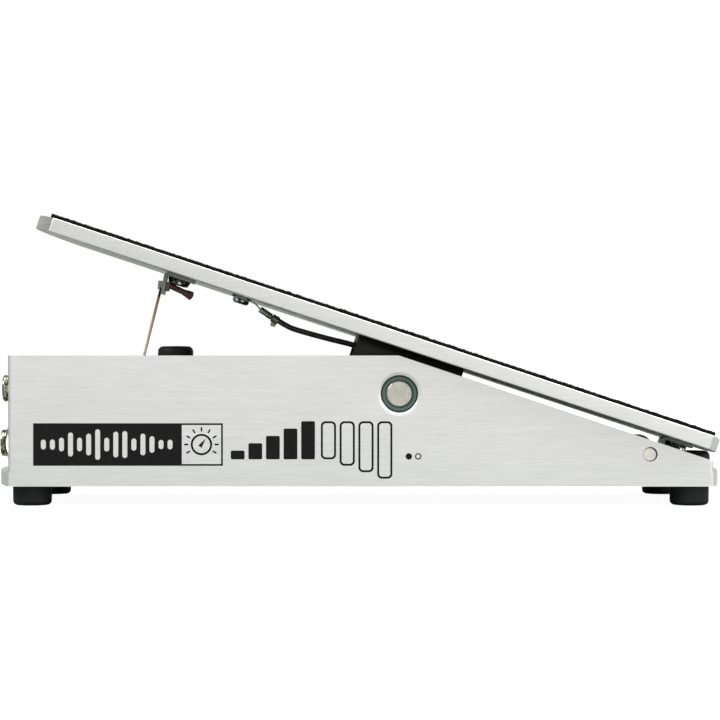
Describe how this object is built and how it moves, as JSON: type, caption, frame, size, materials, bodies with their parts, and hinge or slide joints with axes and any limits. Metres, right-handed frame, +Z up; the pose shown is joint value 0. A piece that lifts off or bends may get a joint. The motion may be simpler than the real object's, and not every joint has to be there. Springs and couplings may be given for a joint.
{
  "type": "volume pedal",
  "caption": "Low aluminium foot pedal: a gritted footboard rocks on a shaft across a channel and turns a potentiometer with a sprung cord.",
  "frame": {"origin": "on the floor, below the middle of the channel", "axes": "+X from the toe end to the heel end, +Y to the far side away from the cord drive, +Z up"},
  "size_m": [0.2548, 0.0888, 0.101],
  "materials": {
    "housing_aluminium": "bright aluminium, brushed along its length",
    "board_aluminium": "satin aluminium plate with a milled edge",
    "grip": "coarse black mineral grit in a black binder",
    "black_bracket": "satin black",
    "rubber": "moulded black rubber",
    "bushing": "dark grey-green moulded bearing plastic",
    "steel": "turned steel",
    "nickel": "nickel plate",
    "zinc": "zinc-plated sheet",
    "black_plastic": "moulded black plastic",
    "cord": "braided tan cord, waxed",
    "cord_knot": "pale knotted cord",
    "cord_tail": "dark red-brown stiffened cord end",
    "black_wire": "black insulated wire"
  },
  "bodies": {
    "housing": {"housing_channel": "housing_aluminium", "toe_panel": "housing_aluminium", "jack_input": "nickel", "jack_output": "nickel", "jack_tuner": "nickel", "jack_washer_input": "nickel", "jack_washer_output": "nickel", "jack_washer_tuner": "nickel", "jack_nut_input": "nickel", "jack_nut_output": "nickel", "jack_nut_tuner": "nickel", "panel_screw_near": "steel", "panel_screw_far": "steel", "pot_screw_toe": "steel", "pot_screw_heel": "steel", "foot_toe_near": "rubber", "foot_toe_far": "rubber", "foot_heel_near": "rubber", "foot_heel_far": "rubber", "toe_bumper": "rubber", "heel_bumper": "rubber", "pivot_bushing_near": "bushing", "pivot_bushing_far": "bushing", "heel_cross_rod": "steel", "pot_bracket": "zinc", "potentiometer": "nickel", "pot_nut": "nickel", "ground_wire_lower": "black_wire", "cord_toe_run": "cord", "cord_middle_run": "cord", "cord_heel_run": "cord"},
    "treadle": {"footboard": "board_aluminium", "grip_pad": "grip", "pivot_bracket": "black_bracket", "pivot_shaft": "steel", "shaft_spacer_near": "steel", "shaft_spacer_far": "steel", "board_screw_toe_near": "steel", "board_screw_toe_far": "steel", "board_screw_heel_near": "steel", "board_screw_heel_far": "steel", "toe_cord_bracket": "zinc", "toe_cord_screw": "steel", "toe_lock_washer": "steel", "heel_cord_bracket": "zinc", "heel_cord_screw": "steel", "heel_lock_washer": "steel", "ground_terminal": "nickel", "ground_screw": "steel", "ground_wire_upper": "black_wire", "cord_knot": "cord_knot", "cord_tail": "cord_tail"},
    "drum": {"cord_drum": "black_plastic", "cord_winding": "cord", "pot_shaft": "steel"},
    "roller": {"cord_roller": "black_plastic"},
    "spring": {"tension_spring": "steel"}
  },
  "joints": [
    {"name": "treadle_hinge", "type": "hinge", "parent": "housing", "child": "treadle", "pos_m": [0.0132, 0, 0.0383], "axis": [0, -1, 0], "range_deg": [0, 17.1], "deforming": ["cord_toe_run", "cord_middle_run", "cord_heel_run"]},
    {"name": "drum_spin", "type": "hinge", "parent": "housing", "child": "drum", "pos_m": [-0.077, 0, 0.025], "axis": [0, -1, 0], "range_deg": [0, 302]},
    {"name": "roller_spin", "type": "hinge", "parent": "housing", "child": "roller", "pos_m": [0.0986, 0, 0.0177], "axis": [0, -1, 0], "range_deg": [0, 302]},
    {"name": "spring_slide", "type": "slide", "parent": "housing", "child": "spring", "axis": [0.9991, 0, -0.0415], "range_m": [0, 0.0275]}
  ],
  "couplings": [
    {"joint": "drum_spin", "follows": "treadle_hinge", "ratio": 17.52},
    {"joint": "roller_spin", "follows": "treadle_hinge", "ratio": 17.52},
    {"joint": "spring_slide", "follows": "treadle_hinge", "m_per_rad": 0.0911}
  ]
}
